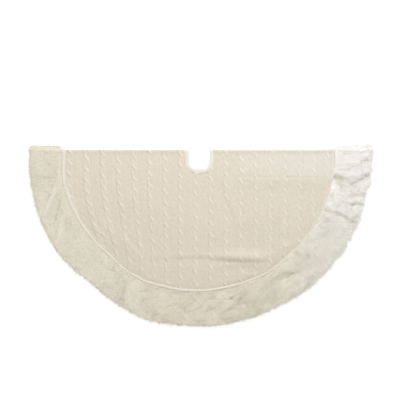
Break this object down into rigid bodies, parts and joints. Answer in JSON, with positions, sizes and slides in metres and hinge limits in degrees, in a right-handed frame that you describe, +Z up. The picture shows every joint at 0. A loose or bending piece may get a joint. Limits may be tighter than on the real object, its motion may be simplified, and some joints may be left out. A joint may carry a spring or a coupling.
{
  "type": "tree skirt",
  "caption": "Round ivory cable-knit tree skirt with a wide faux fur border, folded in half, with a bound trunk hole and a back slit closed by hook-and-loop squares.",
  "frame": {"origin": "on the floor, below the fold line, at the centre of the trunk hole", "axes": "+X along the fold line, +Y from the border towards the fold line, +Z up"},
  "size_m": [1.2192, 0.6239, 0.0216],
  "materials": {
    "knit": "cable-knitted ivory yarn, matt and soft",
    "fur": "cream faux fur, long soft pile with a faint sheen",
    "lining": "plain woven ivory polyester with a low sheen",
    "interfacing": "white non-woven, matt",
    "piping": "pale covered cord, low sheen",
    "binding": "ivory woven tape, topstitched",
    "hook_tape": "white woven nylon with stiff hooks",
    "loop_tape": "white brushed nylon loops",
    "label": "plain white satin ribbon"
  },
  "bodies": {
    "front_half": {"front_knit_left": "knit", "front_knit_mid_left": "knit", "front_knit_mid_right": "knit", "front_knit_right": "knit", "front_interfacing": "interfacing", "front_lining": "lining", "front_piping": "piping", "front_hole_binding": "binding", "front_fur_left": "fur", "front_fur_short": "fur", "front_fur_lower": "fur", "front_fur_right": "fur"},
    "back_left_quarter": {"back_left_knit_left": "knit", "back_left_knit_mid_left": "knit", "back_left_interfacing": "interfacing", "back_left_lining": "lining", "back_left_piping": "piping", "back_left_hole_binding": "binding", "back_left_fur": "fur", "back_left_slit_facing": "binding", "loop_patch_inner": "loop_tape", "loop_patch_middle": "loop_tape", "loop_patch_outer": "loop_tape", "care_label": "label"},
    "back_right_quarter": {"back_right_knit_mid_right": "knit", "back_right_knit_right": "knit", "back_right_interfacing": "interfacing", "back_right_lining": "lining", "back_right_piping": "piping", "back_right_hole_binding": "binding", "back_right_fur": "fur", "back_right_slit_facing": "binding", "hook_patch_inner": "hook_tape", "hook_patch_middle": "hook_tape", "hook_patch_outer": "hook_tape"}
  },
  "joints": [
    {"name": "back_left_opens", "type": "hinge", "parent": "front_half", "child": "back_left_quarter", "pos_m": [0, 0, 0.007], "axis": [1, 0, 0], "range_deg": [0, 180]},
    {"name": "back_right_opens", "type": "hinge", "parent": "front_half", "child": "back_right_quarter", "pos_m": [0, 0, 0.007], "axis": [1, 0, 0], "range_deg": [0, 180]}
  ]
}
